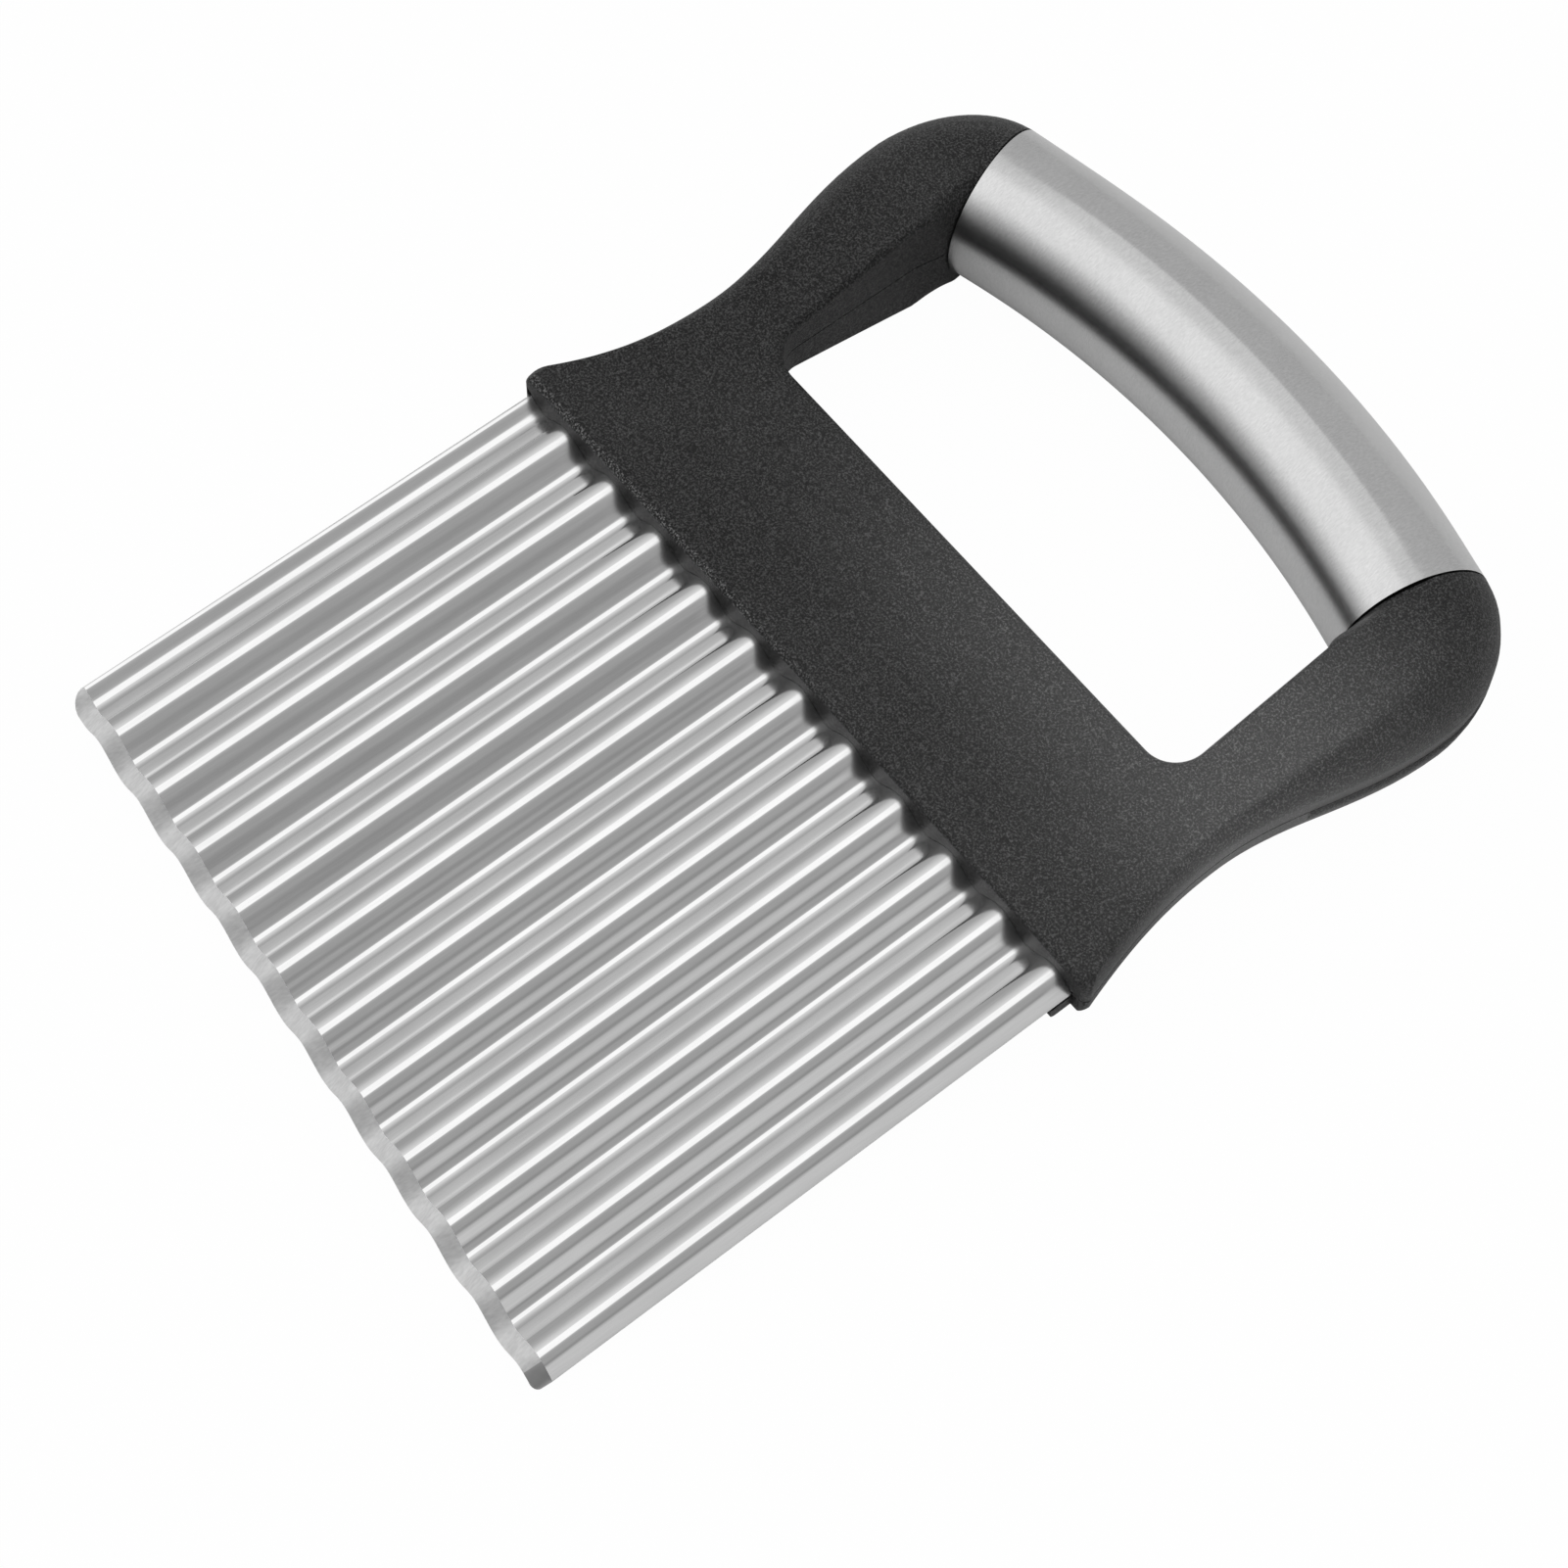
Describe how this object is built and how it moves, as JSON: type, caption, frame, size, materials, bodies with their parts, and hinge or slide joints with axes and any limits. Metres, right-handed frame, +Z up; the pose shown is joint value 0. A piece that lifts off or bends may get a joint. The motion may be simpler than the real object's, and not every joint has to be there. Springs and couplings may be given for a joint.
{
  "type": "crinkle cutter",
  "caption": "Hand-held crinkle cutter: corrugated steel blade with a slanted ground edge, set in a dark moulded handle with a finger window and an arched steel grip tube.",
  "frame": {"origin": "centre of the footprint on the table, with the cutter lying on its rear side", "axes": "+X across the blade to the right, +Y from the cutting edge to the grip, +Z up out of the front face; the cutter lies tilted by about 3.5 degrees, on its cutting edge and the underside of its grip"},
  "size_m": [0.1156, 0.169, 0.0223],
  "materials": {
    "polished_blade": "mirror-polished stainless steel with a satin ground bevel",
    "handle_plastic": "near-black moulded plastic with a fine spark-eroded grain",
    "brushed_grip": "satin stainless steel, brushed round the tube",
    "plug_plastic": "plain moulded plastic, hidden",
    "pin_steel": "plain turned steel, hidden"
  },
  "bodies": {
    "root": {"blade": "polished_blade", "front_shell": "handle_plastic", "rear_shell": "handle_plastic", "grip_tube": "brushed_grip", "left_tube_plug": "plug_plastic", "right_tube_plug": "plug_plastic", "left_tang_pin": "pin_steel", "middle_tang_pin": "pin_steel", "right_tang_pin": "pin_steel"}
  },
  "joints": []
}
